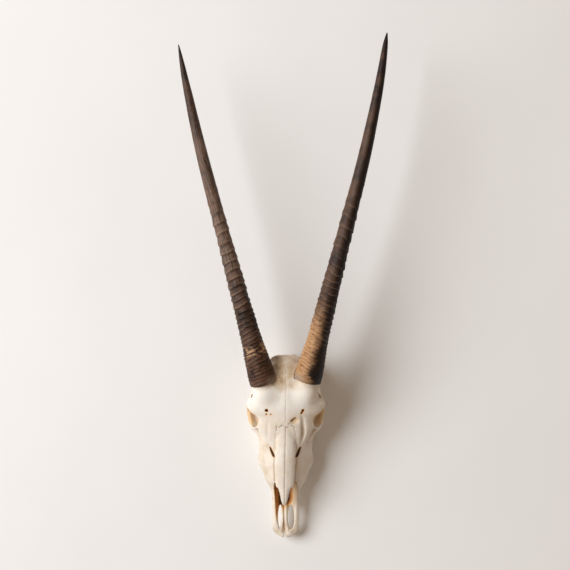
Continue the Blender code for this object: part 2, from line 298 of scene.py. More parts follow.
# %% Mass of the head
BRAINCASE = [
    (-131.8, 8, 70, 92, 80), (-134, 23, 56, 102, 78), (-141, 31, 42, 110.5, 74),
    (-150, 37, 39, 116.5, 73), (-162, 43.5, 36, 122, 72), (-185, 45, 38, 128, 75),
    (-210, 38, 42, 130, 80), (-235, 28, 46, 124, 84), (-262, 20, 46, 112, 80),
]
FOREHEAD = [
    (-150, 32, 100, 116, 106), (-172, 50, 98, 129, 110), (-188, 62, 96, 135, 110),
    (-203, 67, 94, 135.5, 107), (-214, 71, 92, 133.5, 104), (-226, 77, 89, 131, 101),
    (-236, 80, 87, 128.5, 99), (-244, 76.5, 86, 126, 98), (-250, 72, 85, 123.5, 97),
    (-256, 63, 84, 121.5, 95), (-264, 58.5, 82, 119, 93), (-280, 59.5, 78, 112, 88),
    (-291, 54, 76, 107.5, 86), (-304, 46, 72, 101.5, 83), (-322, 35, 66, 92.5, 78),
    (-342, 22, 60, 81, 70),
]
FACE = [
    (-256, 44, 40, 104, 70), (-275, 56, 26, 108, 62), (-292, 58.5, 22, 105.5, 54),
    (-312, 57, 20, 101, 48), (-334, 55, 20, 95.5, 43), (-354, 56.5, 20, 89.5, 41),
    (-364, 55.5, 20, 86.5, 41), (-374, 50, 20, 83, 41), (-388, 45.5, 20, 78, 41),
    (-398, 41, 21, 71.5, 42), (-407, 35.5, 22, 62, 42), (-416, 31, 22.5, 54, 41),
    (-428, 28.6, 22.5, 49.5, 39), (-448, 28.3, 22, 44.5, 36), (-470, 28, 21, 39, 32),
    (-488, 28, 20, 35.5, 29), (-500, 27.4, 19.5, 33, 27), (-507, 25.4, 19.5, 32, 26),
    (-513, 20, 20, 31, 25.5), (-517, 13, 21, 29.5, 25.5), (-519.3, 6, 23, 28, 25.5),
]
half.add(stack(BRAINCASE, 2.3, 2.0))
half.add(stack(FOREHEAD, 1.9, 2.0, 4), 8)
half.add(stack(FACE, 1.5, 2.4, 4), 9)
half.add(ball(41, -201, 113, 27, 32, 27.5), 15)
half.add(ball(47, -352, 40, 9, 14, 9), 8)
half.add(ball(0, -137, 92, 8, 5, 12), 6)
half.add(bar([(0, -133.2, 103, 3), (8, -133.4, 102.8, 3), (16, -134, 101.5, 3),
              (23, -135.4, 99, 3), (28, -138.4, 95, 3), (31.5, -144.5, 88, 3),
              (36, -154, 74, 3)]), 6)

# %% [markdown]
# ## Eye sockets and cheek arches
# Each socket is an egg cut from the side of the head. A raised rim runs round its mouth, a
# post closes it behind, and the cheek arch passes below it and back to the ear. These bars are
# thin and taller than wide, so they carry a stretched section along a curve.

# %% Eye sockets and arches
half.cut(ball(79, -257, 87, 38, 25, 19), 3, cavity=0.38)
half.cut(ball(48, -260, 87, 12, 12, 11), 5, cavity=0.65)
half.cut(ball(66, -206, 84, 24, 26, 17), 6, cavity=0.25)
EYE_RIM = [
    (79.5, -234, 93, 1.0), (77, -241, 99, 0.8), (71, -249, 102, 0.7), (63, -255, 103, 0.5),
    (57, -264, 100, 0.5), (57.5, -276, 94, 0.8), (63, -283, 84, 1.8), (70, -281, 76, 2.1),
    (75, -268, 69, 2.0), (78, -250, 72, 1.8), (79.5, -234, 93, 1.0),
]
half.add(bar(EYE_RIM), 5)
half.add(ball(60, -266, 58, 19, 27, 9), 5)
half.add(bar([(44, -311, 52, 9), (52, -299, 57, 8), (61, -287, 62, 6.2), (69, -275, 67, 5.4),
              (73, -262, 69, 5.2), (75, -248, 71, 5.2), (75.5, -236, 72, 5.2),
              (72, -222, 71, 5.2), (65, -204, 66, 5), (57, -188, 61, 5.4), (49, -172, 59, 7.5),
              (42, -160, 60, 9)], tall=1.35), 4)
half.add(bar([(71, -228, 106, 6), (75.5, -230, 93, 4.4), (76.5, -234, 78, 4.8)]), 5)

# %% [markdown]
# ## Palate, skull base and the back of the head
# The side that lies down is finished too. A ridge carries each tooth row, the palate is
# vaulted between them, and behind it come the thin wings, the ear capsules, the two condyles
# that met the neck, and the pegs beside them, which rest on the surface.

# %% Underside and back
half.add(bar([(33, -392, 33, 9), (36, -345, 33, 12), (40, -276, 35, 12)], tall=1.35), 5)
half.cut(ball(0, -345, 15, 25, 108, 17), 4, cavity=0.18)
half.add(bar([(17, -292, 38, 4.5), (15.5, -262, 36, 3.2), (14, -238, 40, 3.4),
              (13, -222, 48, 4)], tall=1.9), 4)
half.add(bar([(0, -262, 56, 5), (0, -230, 50, 7), (0, -190, 43, 9), (0, -156, 42, 10)],
             wide=1.4), 5)
half.add(ball(16, -143, 48, 10, 11.5, 16), 3)
half.add(ball(25, -180, 37, 9.5, 14, 13.5), 3)
half.add(bar([(39, -146, 60, 8), (38, -148, 34, 5.4), (35, -151, 14, 4.4), (34, -151, 4.5, 4.4)],
             wide=0.9), 5)
half.add(ball(44, -152, 64, 8, 9, 14), 5)
half.add(bar([(38, -173, 57, 6), (50, -175, 59, 4.6)]), 4)
half.cut(bar([(42, -174, 58, 2.4), (58, -176, 59.5, 3.0)]), 1, cavity=1)
half.cut(ball(0, -130, 63, 11.5, 34, 10.5), 2, cavity=0.6)
half.cut(ball(9, -240, 50, 4.5, 24, 8), 2, cavity=0.6)
half.cut(bar([(42, -392, 40, 2.4), (58, -380, 36, 3.0)]), 1.5, cavity=0.9)

# %% [markdown]
# ## Mirror, then the nose
# From here on the two sides differ. The passage of the nose is cut, and the nasal bones are laid
# over it and lean a little to the animal's right. Two windows open the tip right through, and
# two thin bars run side by side between them.

# %% Mirror the half and build the nose
skull = Clay([np.concatenate([-half_x[::-1], half_x]), length_y, height_z])
skull.value = np.concatenate([half.value[::-1], half.value])
skull.cavity = np.concatenate([half.cavity[::-1], half.cavity])
PASSAGE = [
    (-510, 5, 26.5, 52, 34), (-500, 14.5, 25.5, 56, 35), (-488, 21, 26, 60, 37),
    (-470, 23.2, 27.5, 66, 41), (-446, 24, 30, 66, 46), (-420, 24, 33, 66, 47),
    (-400, 23.5, 35, 69, 49), (-382, 19.5, 37, 72, 52), (-345, 13, 42, 77, 58),
    (-300, 8, 50, 76, 64),
]
NASALS = [
    (-446, 2.6, 62, 69.5, 66.5), (-437, 6.2, 63, 73, 69), (-420, 10.2, 65, 77, 71),
    (-410, 12.8, 67, 79.5, 73), (-406.5, 17.6, 68, 80.5, 73.5), (-398, 20, 69.5, 83, 75),
    (-370, 21.8, 76, 92, 82), (-334, 22.8, 84, 101.5, 90), (-300, 20, 92, 107.6, 98),
    (-284, 16, 97, 110.6, 102), (-270, 10, 102, 113, 106),
]
skull.cut(stack(PASSAGE, 3.0, 1.8, 4), 2, cavity=0.6)
skull.add(stack(NASALS, 1.9, 1.6, 2, -3.0, -290), 1.2)
skull.cut(bar([(-2, -452, 55, 6), (-2, -420, 58, 8), (-2, -380, 62, 9)], tall=1.1), 2, cavity=0.6)
WINDOWS = [ball(-11.4, -475, 26, 4.8, 26.5, 16), ball(11.5, -475.5, 26, 7, 26.5, 16)]
for window in WINDOWS:
    skull.cut(window, 2)
skull.add(bar([(-7.2, -436, 30.5, 2.6), (-6.6, -460, 29, 1.9), (-7, -484, 28, 2.0),
               (-9.5, -504, 26.5, 3.6)], tall=1.4), 2)
skull.add(bar([(0.4, -436, 31, 4.2), (0.8, -460, 29.5, 3.4), (1, -484, 28.5, 3.2),
               (4.5, -504, 27, 4.4)], tall=1.2), 2)
skull.cut(bar([(-4.3, -448, 33, 0.8), (-4.4, -470, 31, 0.8), (-4.2, -492, 29, 1.0),
               (-2.6, -506, 27, 1.2), (-1.2, -524, 25, 2.0)], tall=6), 0.6, cavity=0.45)

# %% [markdown]
# ## Openings that only show close up
# Nerves and vessels left holes above the eyes, with a groove running forward on each side, and a
# slanted slit opens beside the root of the nasal bones. A small broken hollow in the forehead
# is this skull's own mark. They are cut with thin bars, and the hollow with a flat ball too.

# %% Slits, foramina and the broken hollow
NASAL_LEAN = -1.2
for side in (-1, 1):
    skull.cut(bar([(side * 31.5 + NASAL_LEAN, -323.5, 93, 0.9),
                   (side * 28 + NASAL_LEAN, -332, 94, 1.9),
                   (side * 24 + NASAL_LEAN, -341, 92, 1.7)], tall=6), 0.8, cavity=1.4)
    skull.cut(bar([(side * 65.5, -206, 113, 1.3), (side * 71, -218, 109, 1.3)], tall=6), 0.8)
FORAMINA = [(-39.2, -245.5, 2.4), (-39.4, -255, 1.5), (-30.3, -254.5, 1.3),
            (35.2, -245.5, 2.1), (32.8, -251, 1.8)]
for x, y, radius in FORAMINA:
    skull.cut(bar([(x, y, 132, radius), (x, y + 6, 104, radius)]), 1, cavity=0.42 * radius)
LEFT_GROOVE = [(34, -254, 121.5, 2.6), (36, -264, 116, 4.4), (36.8, -280, 108, 5.2),
               (36.3, -298, 98, 5), (33.5, -318, 91, 3.4)]
RIGHT_GROOVE = [(-37, -258, 119.5, 2.6), (-38, -268, 115, 3.6), (-39, -284, 107, 4),
                (-38, -302, 97.5, 3)]
for groove in (LEFT_GROOVE, RIGHT_GROOVE):
    skull.cut(bar(groove), 3)
skull.cut(ball(20, -267.5, 117.5, 9.5, 8, 5), 2.5, cavity=0.3)
skull.cut(bar([(10.5, -265.5, 118, 1.2), (15.5, -262.5, 116.5, 2.4), (21, -258.5, 118, 1.3)],
              tall=1.6), 1.5, cavity=0.4)

# %% [markdown]
# ## Horn axes
# Both horns follow a smooth curve through a few given points: out and up, then level, and
# a little down at the tip. Tables give each sheath's radius along it. The same curve sets the
# bony cores that carry the sheaths, and the seats that the sheaths' lower edges stand on.

# %% Horn axes, radii, cores and seats
AXES = {
    "right": [(-40, -187, 122), (-80.5, -37, 153), (-120, 112, 171), (-162, 271, 177),
             (-194, 412, 173), (-211.4, 500, 168)],
    "left": [(49.5, -182.5, 122), (86, -34, 153), (122.7, 112, 171), (162.5, 268, 177),
              (193.2, 414, 173), (210, 523.5, 166)],
}
RADII = {
    "right": [(0, 28.2), (0.03, 27.8), (0.06, 26.2), (0.08, 24.8), (0.11, 22.6), (0.15, 20.6),
             (0.2, 19.5), (0.25, 18), (0.325, 17.3), (0.375, 16.1), (0.43, 14.7),
             (0.535, 13.4), (0.635, 12.4), (0.7, 11.4), (0.81, 9.4), (0.88, 7.6), (0.945, 4.9),
             (0.98, 2.8), (1, 0.7)],
    "left": [(0, 28), (0.02, 28.2), (0.05, 26.8), (0.075, 25.2), (0.107, 22.7), (0.13, 21.4),
              (0.2, 20), (0.27, 19), (0.34, 17.2), (0.4, 16.3), (0.475, 15.2),
              (0.54, 13.9), (0.61, 13.3), (0.71, 12), (0.78, 10.6), (0.85, 9.4),
              (0.92, 7.4), (0.952, 6.1), (0.985, 4.2), (1, 1.0)],
}
CORE_LENGTH = 84.0
CORE_RADII = [(0, 22), (0.35, 17.5), (0.8, 13.5), (1, 8)]
CORE_ROOT = 20.0
PATH_POINTS = 400
SEAT_CLEARANCE = 0.5
SEAT_LENGTH, SEAT_REACH = 110.0, 30.0


def horn_axis(side):
    """The horn's centre line in mm and its length."""
    return smooth_curve(AXES[side], PATH_POINTS)


def seat_shape(side, path, length, forward):
    """The space inside the sheath's outline and beyond its lower edge, with a clearance."""
    def distance(px, py, pz):
        dx, dy, dz = px - path[0, 0], py - path[0, 1], pz - path[0, 2]
        along = dx * forward[0] + dy * forward[1] + dz * forward[2]
        out = np.sqrt(np.maximum(dx * dx + dy * dy + dz * dz - along * along, 0))
        edge = np.interp(np.maximum(along, 0).ravel() / length, *np.array(RADII[side]).T)
        return np.maximum(out - edge.reshape(along.shape) - SEAT_CLEARANCE, -along)

    far_end = path[int(SEAT_LENGTH / length * PATH_POINTS)]
    return distance, path[0] - SEAT_REACH, far_end + SEAT_REACH


def core_shape(path, length, forward):
    """The bony core: a bar along the sheath's axis, with a thick root sunk in the skull."""
    share = np.linspace(0, 1, 12)
    radii = np.interp(share, *np.array(CORE_RADII).T)
    steps = share * (CORE_LENGTH - radii[-1]) / length * (PATH_POINTS - 1)
    core = np.column_stack([np.interp(steps, np.arange(PATH_POINTS), c) for c in path.T])
    root = np.append(core[0] - forward * CORE_ROOT, CORE_ROOT)
    return bar(np.vstack([root, np.column_stack([core, radii])]))


for side in ("right", "left"):
    path, length = horn_axis(side)
    path = path - (MIDLINE, 0, 0)
    forward = (path[1] - path[0]) / np.linalg.norm(path[1] - path[0])
    skull.cut(seat_shape(side, path, length, forward), 1)
    skull.add(core_shape(path, length, forward), 0.6)

# %% Tooth sockets
TEETH = sorted(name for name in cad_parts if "molar" in name)
GUM_GAP = 0.5


def socket_shape(name):
    """A tooth's rounded square outline and a little more, up to its roots' ends."""
    low, high = (np.array(corner) / MM - (MIDLINE, 0, 0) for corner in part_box(name))
    middle, reach = (low + high) / 2, (high - low) / 2 + GUM_GAP

    def distance(px, py, pz):
        across, along = abs(px - middle[0]) / reach[0], abs(py - middle[1]) / reach[1]
        out = (across**3 + along**3) ** (1 / 3) - 1
        return np.maximum(out * reach[:2].min(), pz - middle[2] - reach[2])

    return distance, middle - reach, middle + reach


for name in TEETH:
    skull.cut(socket_shape(name), 0.5, cavity=0.5)
print("bone in the clay:", round(float((skull.value < 0).sum() * STEP**3 / 1000)), "cm3")

# %% [markdown]
# ## From clay to mesh
# The skin lies where the distance changes sign. Surface nets find it: every grid cell that
# the skin crosses gets one point, the mean of its edge crossings, and every crossed edge gets
# one four-sided face between the four cells around it. It is all array work.

# %% Skin the clay
def settle(value):
    """Fills the lesser gap wherever bone would touch bone only along an edge or at a corner.

    A square of four grid points whose diagonals differ in sign, or a cube with only two
    opposite corners in bone, would give a skin that meets itself. The nearest outside point
    there is moved just inside, until no such place is left.
    """
    just_inside = -0.02
    for _ in range(8):
        inside = value < 0
        changed = 0
        for axis in range(3):
            u, v = [i for i in range(3) if i != axis]
            corners = []
            for a, b in ((0, 0), (0, 1), (1, 1), (1, 0)):
                part = [slice(None)] * 3
                part[u] = slice(a, value.shape[u] - 1 + a)
                part[v] = slice(b, value.shape[v] - 1 + b)
                corners.append(tuple(part))
            signs = [inside[part] for part in corners]
            bad = (signs[0] == signs[2]) & (signs[1] == signs[3]) & (signs[0] != signs[1])
            changed += int(bad.sum())
            for one, two in ((0, 2), (1, 3)):
                first, second = value[corners[one]], value[corners[two]]
                outside = bad & (first > 0)
                first[outside & (first <= second)] = just_inside
                second[outside & (second < first)] = just_inside
        cube = [tuple(slice(c, n - 1 + c) for c, n in zip(corner, value.shape))
                for corner in itertools.product((0, 1), repeat=3)]
        filled = sum((value[part] < 0).astype(np.int8) for part in cube)
        for one in range(4):
            a, b = cube[one], cube[7 - one]
            alone = (value[a] < 0) & (value[b] < 0) & (filled == 2)
            value[cube[one ^ 1]][alone] = just_inside
            gap = (value[a] > 0) & (value[b] > 0) & (filled == 6)
            value[a][gap] = just_inside
            changed += int(alone.sum() + gap.sum())
        if not changed:
            break
    return value


def skin(clay):
    """Points in mm and four-sided faces of the surface where the distance is zero."""
    value = settle(clay.value)
    inside = value < 0
    cells = np.array(value.shape) - 1
    count = np.zeros(cells.prod())
    total = np.zeros((3, cells.prod()))
    crossings = []
    for axis in range(3):
        one = [slice(None)] * 3
        two = [slice(None)] * 3
        one[axis], two[axis] = slice(None, -1), slice(1, None)
        one, two = tuple(one), tuple(two)
        index = np.argwhere(inside[one] != inside[two])
        others = [i for i in range(3) if i != axis]
        held = ((index[:, others] > 0) & (index[:, others] < cells[others])).all(axis=1)
        index = index[held]
        a = value[one][tuple(index.T)]
        b = value[two][tuple(index.T)]
        point = index.astype(float)
        point[:, axis] += a / (a - b)
        around = []
        for u, v in ((1, 1), (0, 1), (0, 0), (1, 0)):
            cell = index.copy()
            cell[:, others[0]] -= u
            cell[:, others[1]] -= v
            flat = np.ravel_multi_index(tuple(cell.T), cells)
            around.append(flat)
            count += np.bincount(flat, minlength=len(count))
            for i in range(3):
                total[i] += np.bincount(flat, point[:, i], minlength=len(count))
        quad = np.column_stack(around)
        flip = (a < 0) != (axis == 1)
        quad[~flip] = quad[~flip][:, ::-1]
        crossings.append(quad)
    used = np.flatnonzero(count)
    number = np.full(len(count), -1)
    number[used] = np.arange(len(used))
    start = np.array([axis[0] for axis in clay.axes])
    points = (total[:, used] / count[used]).T * STEP + start
    return points, number[np.vstack(crossings)]


def sample(clay, grid, points):
    """A grid's value at each point, blended from the eight grid points round it."""
    start = np.array([axis[0] for axis in clay.axes])
    place = np.clip((points - start) / STEP, 0, np.array(grid.shape) - 1.001)
    corner = place.astype(int)
    part = place - corner
    total = np.zeros(len(points))
    for step in itertools.product((0, 1), repeat=3):
        weight = np.where(np.array(step) == 1, part, 1 - part).prod(axis=1)
        total += weight * grid[tuple((corner + step).T)]
    return total


def box_blur(grid, reach):
    """The mean over a cube `reach` cells each way, one axis at a time, from running sums."""
    for axis in range(3):
        width = [(0, 0)] * 3
        width[axis] = (reach + 1, reach)
        run = np.cumsum(np.pad(grid, width, mode="edge"), axis=axis, dtype=np.float32)
        ends = [slice(None)] * 3
        starts = [slice(None)] * 3
        ends[axis], starts[axis] = slice(2 * reach + 1, None), slice(None, -(2 * reach + 1))
        grid = (run[tuple(ends)] - run[tuple(starts)]) / (2 * reach + 1)
    return grid


skull_points, skull_faces = skin(skull)
solid = np.clip(0.5 - skull.value / (2 * STEP), 0, 1)
near_bone = sample(skull, box_blur(box_blur(solid, 1), 1), skull_points)
wide_bone = sample(skull, box_blur(box_blur(solid, 4), 4), skull_points)
print("skull skin:", len(skull_points), "points,", len(skull_faces), "faces")

# %% [markdown]
# ## Relief and masks on the skull
# A cleaned skull is not smooth: the plates meet in fine wavy sutures and the surface rolls
# gently. The deep places turn golden and brown, partly with age and partly as painted shade.
# Sutures are short lists of points; each mesh point's distance to the line, bent by noise,
# makes a shallow groove. The same numbers are stored on the mesh, so that the material can
# colour what the shape has formed.

# %% Relief and masks
def point_normals(points, faces):
    """Each point's outward direction: the sum of its faces' crossed diagonals."""
    corner = points[faces]
    across = np.cross(corner[:, 2] - corner[:, 0], corner[:, 3] - corner[:, 1])
    total = np.zeros_like(points)
    for k in range(faces.shape[1]):
        for i in range(3):
            total[:, i] += np.bincount(faces[:, k], across[:, i], minlength=len(points))
    return total / np.maximum(np.linalg.norm(total, axis=1, keepdims=True), 1e-9)


def line_distance(points, line):
    """The distance in mm, seen from above, from each point to a line of (x, y) points."""
    line = np.array(line, float)
    nearest = np.full(len(points), FAR)
    for a, b in zip(line[:-1], line[1:]):
        along = b - a
        share = np.clip((points[:, :2] - a) @ along / (along @ along), 0, 1)[:, None]
        away = np.linalg.norm(points[:, :2] - a - share * along, axis=1)
        nearest = np.minimum(nearest, away)
    return nearest


# Each suture is its points seen from above, how much it wavers, and how strongly it shows.
SUTURES = [
    ([(0, -158), (1, -200), (-0.5, -240), (0.3, -268)], 0.8, 0.6),
    ([(-20, -286), (-17, -276), (-12, -279), (-7, -273), (-2, -276), (3, -279), (8, -272),
      (13, -274), (17, -279), (20, -286)], 1.6, 0.9),
    ([(20, -286), (22, -306), (23, -328)], 0.8, 0.6),
    ([(-20, -286), (-22, -306), (-25, -328)], 0.8, 0.6),
    ([(-0.5, -276), (-1.2, -340), (-2.6, -400), (-3, -446)], 0.25, 1.0),
    ([(21.3, -342), (20.6, -370), (19.3, -396)], 0.2, 1.1),
    ([(-24, -342), (-24.3, -370), (-23.6, -396)], 0.2, 1.1),
    ([(29, -326), (42, -316), (54, -300)], 2.0, 0.45),
    ([(-32, -326), (-42, -316), (-54, -300)], 2.0, 0.45),
    ([(26, -392), (32, -404), (35, -416)], 1.4, 0.45),
    ([(-28, -392), (-33, -404), (-36, -416)], 1.4, 0.45),
    ([(-40, -163), (-24, -170), (0, -166), (24, -170), (40, -163)], 2.6, 0.5),
    ([(65.5, -206), (71, -218)], 0.3, 0.9),
    ([(-65.5, -206), (-71, -218)], 0.3, 0.7),
    ([(11, -265.5), (15.5, -262.5), (20.5, -259.5)], 0.3, 1.0),
    ([(13, -266), (17.5, -263)], 0.3, 0.9),
]
normals = point_normals(skull_points, skull_faces)
px, py, pz = skull_points.T
facing_up = smooth_step(normals[:, 2], 0.15, 0.5)
wobble = np.stack([cloud(skull_points, 4, 11), cloud(skull_points, 4, 12)], axis=1) * 1.6
suture = np.zeros(len(skull_points))
for line, waviness, strength in SUTURES:
    away = line_distance(skull_points[:, :2] + wobble * waviness, line)
    suture = np.maximum(suture, strength * np.exp(-((away / 1.1) ** 2)))
suture = suture * facing_up * (pz > 60)
# The cavity tint is partly the bone's own yellowing and partly painted shade: golden, then orange, and
# near-black brown in the deepest holes.
cavity = sample(skull, skull.cavity, skull_points)
fade_line = py - np.where(px < 0, 1.6, 0.3) * px
cavity = np.clip(cavity, 0, 1) * np.where(py < -410, smooth_step(fade_line, -474, -436), 1)
open_bone = 1 - smooth_step(cavity, 0.1, 0.4)
# hollow and crease measure how much bone lies round each point; the material lays gold and tan by them
# into concave places, partly grime and partly painted shade.
hollow = (near_bone - 0.5) * 2
crease = (wide_bone - 0.5) * 2
# In the nose the tint is painted light and shade: deeper near the middle beside the nasal bones and on
# the left, where the passage lies in shade, and paler on the right, where the light falls.
in_nose = smooth_step(-py, 396, 404)
beside_nasals = smooth_step(-abs(px + 2), -17, -9) * smooth_step(py, -458, -444)
cavity = cavity * (1 + in_nose * (0.6 * beside_nasals + 0.12 * smooth_step(-px, 8, 14)
                                  - 0.45 * smooth_step(px, 13, 20)))

RIGHT_STAIN = [(-13, -150), (-12, -163), (-11, -175), (-9, -186), (-6, -197)]
HORN_FOOT_STAIN = [(-27, -184), (-18, -195), (-11, -203)]
LEFT_STAIN = [(9, -160), (10, -176), (12, -190)]
stain_and_shade = 0.52 * np.exp(-((line_distance(skull_points, RIGHT_STAIN) / 8) ** 2))
stain_and_shade += 0.5 * np.exp(-((line_distance(skull_points, HORN_FOOT_STAIN) / 6) ** 2))
stain_and_shade = stain_and_shade * smooth_step(py, -216, -186)
stain_and_shade += 0.3 * np.exp(-((line_distance(skull_points, LEFT_STAIN) / 7) ** 2))
# Painted shade: this term browns the face's flank that faces the light, to hold its brightness down.
stain_and_shade += 0.24 * smooth_step(-normals[:, 0], 0.3, 0.8) * smooth_step(-py, 290, 330)
stain_and_shade += 0.2 * smooth_step(-py, 470, 500)
stain_and_shade += 0.34 * smooth_step(py, -206, -164) * smooth_step(pz, 60, 100)
stain_and_shade = np.clip(stain_and_shade + 0.22 * cloud(skull_points, 14, 21) * (stain_and_shade > 0.05), 0, 1)

# The brow's whitening is partly bleaching and partly painted light: it lies on upward-facing bone and
# is cut back on the right, away from the light.
bleached_and_lit = smooth_step(py, -266, -228) * smooth_step(-py, 192, 212) * facing_up
bleached_and_lit = bleached_and_lit * (1 - 0.9 * smooth_step(px, 38, 54))

relief = 0.35 * cloud(skull_points, 26, 31) + 0.16 * cloud(skull_points, 9, 32)
relief += 0.10 * cloud(skull_points, 4, 33)
streaks = 0.14 * cloud(skull_points, (3.2, 26, 6), 34) * smooth_step(-py, 270, 300)
depth = (relief + streaks) * open_bone - 0.7 * suture
skull_points = skull_points + normals * depth[:, None]

skull_bone = add_mesh("skull_bone", skull_points + (MIDLINE, 0, 0), [skull_faces])
for name, mask in (("cavity", cavity), ("suture", suture), ("stain_and_shade", stain_and_shade),
                   ("bleached_and_lit", bleached_and_lit), ("hollow", hollow), ("crease", crease)):
    set_mask(skull_bone, name, mask)
print("skull:", [round(side, 1) for side in np.ptp(skull_points, axis=0)], "mm")

# %% [markdown]
# ## Ringed horn sheaths
# A horn is a true two-parameter surface: length along a curved axis and angle round it. The
# radius comes from the table, and rings are laid on it. Each ring is a low cone: a sharp step
# on the side of the skull and a long slope to the tip. Rings are close and flat at the
# base, wide and bold at the middle, and they end past the middle, where the horn runs on
# smooth. The sheath is hollow at the base, where the bony core stands in it.

# %% Ring tables: distance along the horn in mm
RING_SPACING = {
    "right": [(0, 7.2), (60, 7.6), (120, 9.5), (180, 13), (240, 17), (300, 20.5), (420, 22)],
    "left": [(0, 6.8), (60, 7.4), (120, 9), (180, 12), (240, 16), (300, 21), (430, 25)],
}
RING_HEIGHT = {
    "right": [(0, 0.5), (20, 0.9), (80, 1.4), (140, 1.9), (200, 2.1), (300, 2.0), (350, 1.5),
              (385, 0.7), (425, 0)],
    "left": [(0, 0.4), (20, 0.7), (80, 1.0), (140, 1.3), (200, 1.7), (300, 1.7), (350, 1.3),
             (390, 0.7), (450, 0)],
}
RING_TILT = math.tan(math.radians(13))
CREST_SHARE = 0.2
SIDES = 88
FINE_STEP, COARSE_STEP = ((0.9, 2.2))
RINGED_LENGTH = 440.0
SEAT_GAP, CORE_GAP = 0.6, 1.0
HOLLOW_END = CORE_LENGTH - CORE_RADII[-1][1]
HOLLOW_ROWS, CAP_ROWS, CAP_DEPTH, POLE_DEPTH = 20, 6, 9.5, 9.6
SOFTEN_ROWS = 8
LEAST_RADIUS = 0.25
LIP_ROUNDING = (1.1, 0.4, 0.1)
MEAN_RING = 0.42
SEEDS = {"right": 40, "left": 60}


def ring_profile(turn):
    """Ring height over one turn: half a cosine up to the crest, then a long slope back to 0."""
    rise = np.clip(turn / CREST_SHARE, 0, 1)
    fall = np.clip((turn - CREST_SHARE) / (1 - CREST_SHARE), 0, 1)
    up = 0.5 - 0.5 * np.cos(math.pi * rise)
    down = 1 - 0.3 * fall - 0.7 * fall * fall * (3 - 2 * fall)
    return np.where(turn < CREST_SHARE, up, down)


def skin_grid(rows, around, first_pole, last_pole):
    """Faces of a closed grid of rows and sides whose two ends run into single points."""
    index = np.arange(rows * around).reshape(rows, around)
    turned = np.roll(index, -1, axis=1)
    quads = np.stack([index[:-1], turned[:-1], turned[1:], index[1:]], axis=-1).reshape(-1, 4)
    start = np.column_stack([np.full(around, first_pole), turned[0], index[0]])
    end = np.column_stack([np.full(around, last_pole), index[-1], turned[-1]])
    return quads, np.vstack([start, end])


# %% Rows and relief of a sheath
def sheath_rows(side, length):
    """Distance along the horn and plain radius of every row, and how many rows are inside.

    The rows start at the end of the hollow, come out at the mouth and go on to the tip.
    """
    cap = np.radians(np.linspace(82, 0, CAP_ROWS))
    wall = np.linspace(HOLLOW_END, SEAT_GAP, HOLLOW_ROWS)
    inner_s = np.concatenate([HOLLOW_END + CAP_DEPTH * np.sin(cap), wall])
    inner_r = np.interp(inner_s / HOLLOW_END, *np.array(CORE_RADII).T) + CORE_GAP
    inner_r[:CAP_ROWS] = (CORE_RADII[-1][1] + CORE_GAP) * np.cos(cap)
    fine = np.arange(SEAT_GAP, RINGED_LENGTH, FINE_STEP)
    coarse = np.arange(RINGED_LENGTH, length - 0.5, COARSE_STEP)
    outer_s = np.concatenate([fine, coarse])
    outer_r = np.interp(outer_s / length, *np.array(RADII[side]).T)
    width = 2 * SOFTEN_ROWS + 1
    outer_r = np.convolve(np.pad(outer_r, SOFTEN_ROWS, mode="reflect", reflect_type="odd"),
                          np.full(width, 1 / width), "valid")
    radius = np.concatenate([inner_r, np.maximum(outer_r, 0.3)])
    return np.concatenate([inner_s, outer_s])[:, None], radius[:, None], len(inner_s)


def ring_relief(side, length, s, plain, angle, round_place):
    """The height of rings and roughness in mm, and the ring mask.

    A place's phase is the number of ring spacings up to it. Rings lie further up the horn on
    the inner side and wander with the noise. Each has its own vigour, and a side where it is
    strongest.
    """
    seed = SEEDS[side]
    steps = np.arange(-60, length + 60, 0.5)
    turns = np.cumsum(0.5 / np.interp(steps, *np.array(RING_SPACING[side]).T))
    lean = s - RING_TILT * plain * np.cos(angle)
    lean = lean + 3.0 * cloud(round_place, (19, 19, 18), seed)
    lean = lean + 1.1 * cloud(round_place, (7, 7, 8), seed + 1)
    phase = np.interp(lean, steps, turns)
    number = np.floor(phase).astype(int)
    draw = np.random.default_rng(seed)
    vigour = draw.uniform(0.5, 1.2, 200)[number]
    lopsided = draw.uniform(0, 0.55, 200)[number]
    facing = draw.uniform(0, 2 * math.pi, 200)[number]
    vigour = vigour * (1 + lopsided * np.cos(angle - facing))
    profile = ring_profile(phase - number)
    height = np.interp(s, *np.array(RING_HEIGHT[side]).T)
    ring = profile * np.clip(vigour, 0.25, 1.5)
    rough = 0.35 * cloud(round_place, (9, 9, 12), seed + 2) * (0.4 + 0.6 * (s < 420))
    rough = rough + 0.16 * cloud(round_place, (9, 9, 2.2), seed + 3) * smooth_step(-s, -430, -300)
    rough = rough + 0.10 * cloud(round_place, (1.8, 1.8, 40), seed + 4)
    relief = height * (ring - MEAN_RING) + rough * np.clip(plain / 8, 0, 1)
    return relief, profile * smooth_step(height, 0, 1.1)


def horn_frame(path, length, along, toward_middle):
    """At each place along the axis: its point, the inner side's direction and the top's."""
    walk = np.linspace(0, length, len(path))
    axis = np.stack([np.interp(along, walk, column) for column in path.T], axis=-1)
    tangent = np.gradient(path, axis=0)
    tangent = np.stack([np.interp(along, walk, column) for column in tangent.T], axis=-1)
    tangent /= np.linalg.norm(tangent, axis=-1, keepdims=True)
    inner = np.cross(tangent, (0, 0, 1)) * toward_middle
    inner /= np.linalg.norm(inner, axis=-1, keepdims=True)
    return axis, inner, np.cross(inner, tangent) * toward_middle


